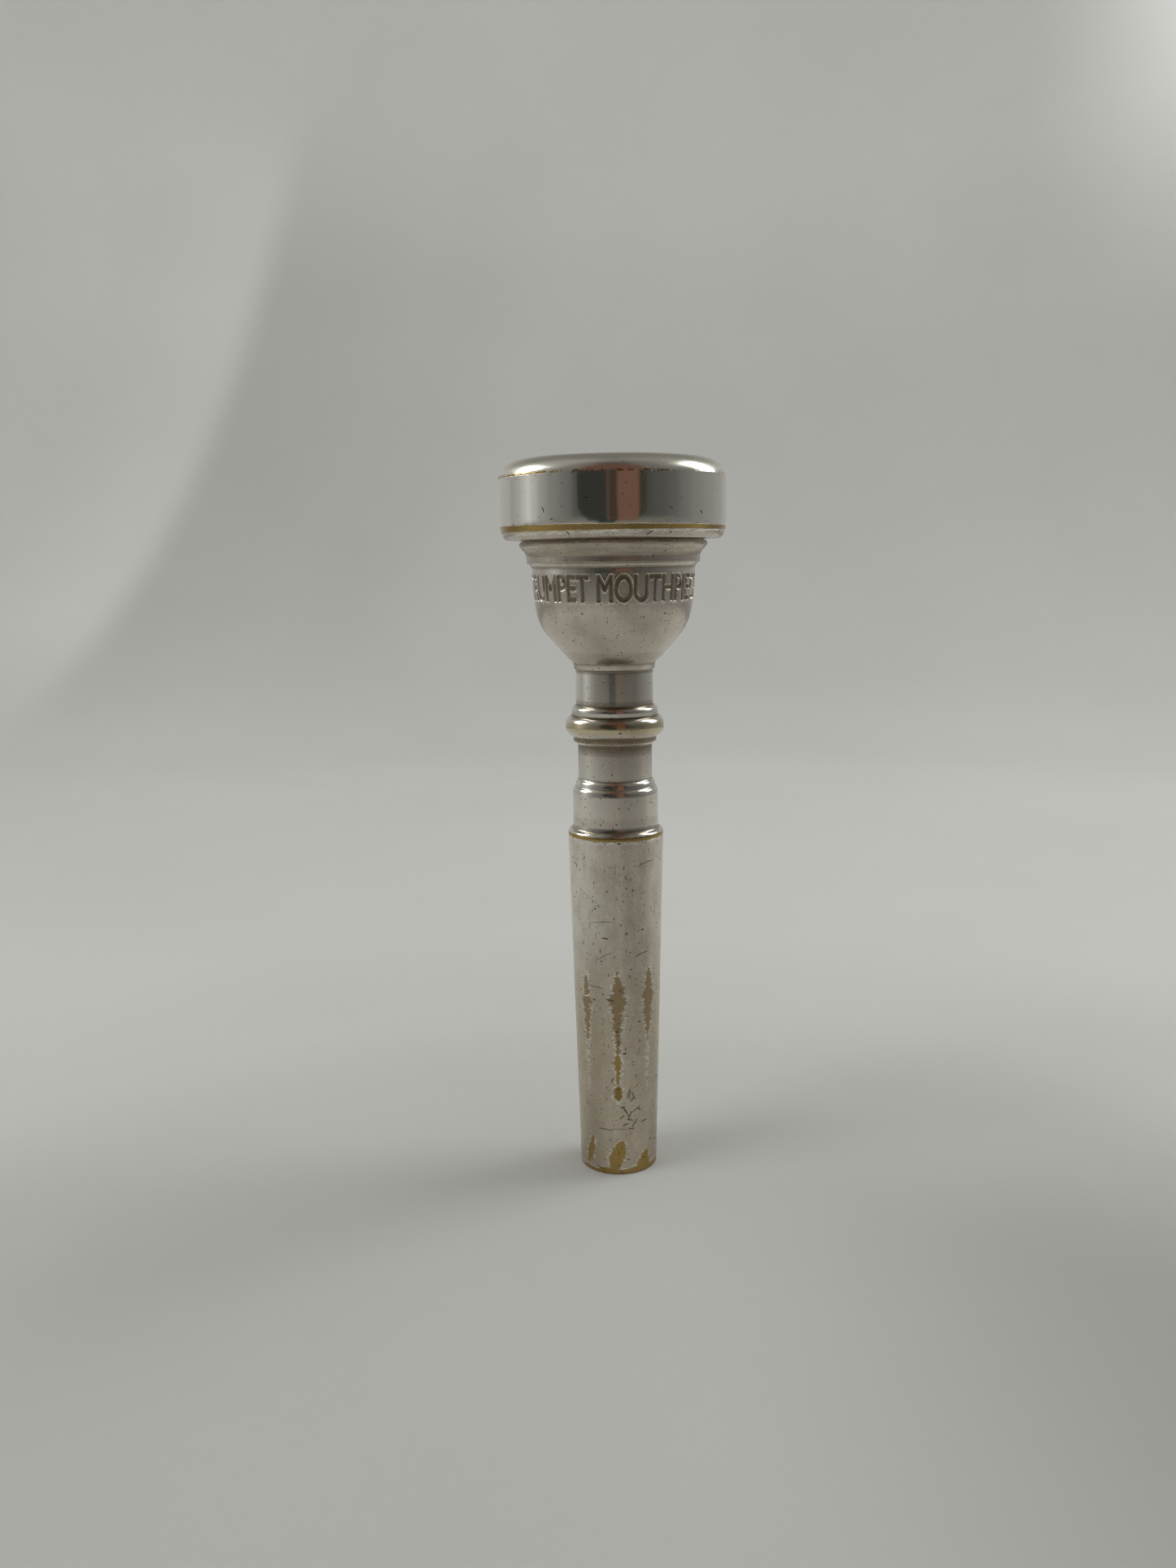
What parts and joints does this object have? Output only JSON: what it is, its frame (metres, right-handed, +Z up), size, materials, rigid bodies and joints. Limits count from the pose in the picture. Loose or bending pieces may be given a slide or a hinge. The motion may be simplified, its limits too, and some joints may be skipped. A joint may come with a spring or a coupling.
{
  "type": "trumpet mouthpiece",
  "caption": "Silver-plated brass mouthpiece for a trumpet: a round rim ring that comes off a turned cup, with a beaded neck and a long tapered shank.",
  "frame": {"origin": "centre of the shank's end face, on the axis", "axes": "+Z up the axis from the shank's end to the rim; the shape is round about Z"},
  "size_m": [0.027, 0.027, 0.0875],
  "materials": {
    "worn_plate": "satin, tarnished silver plate over brass, pitted, with the brass showing where the plate has worn through",
    "bright_plate": "polished silver plate over brass with fine scratches, worn to brass along its lower edge"
  },
  "bodies": {
    "cup_and_shank": {"cup_and_shank": "worn_plate"},
    "rim": {"rim": "bright_plate"}
  },
  "joints": [
    {"name": "rim_lift", "type": "slide", "parent": "cup_and_shank", "child": "rim", "axis": [0, 0, 1], "range_m": [0, 0.008]}
  ]
}
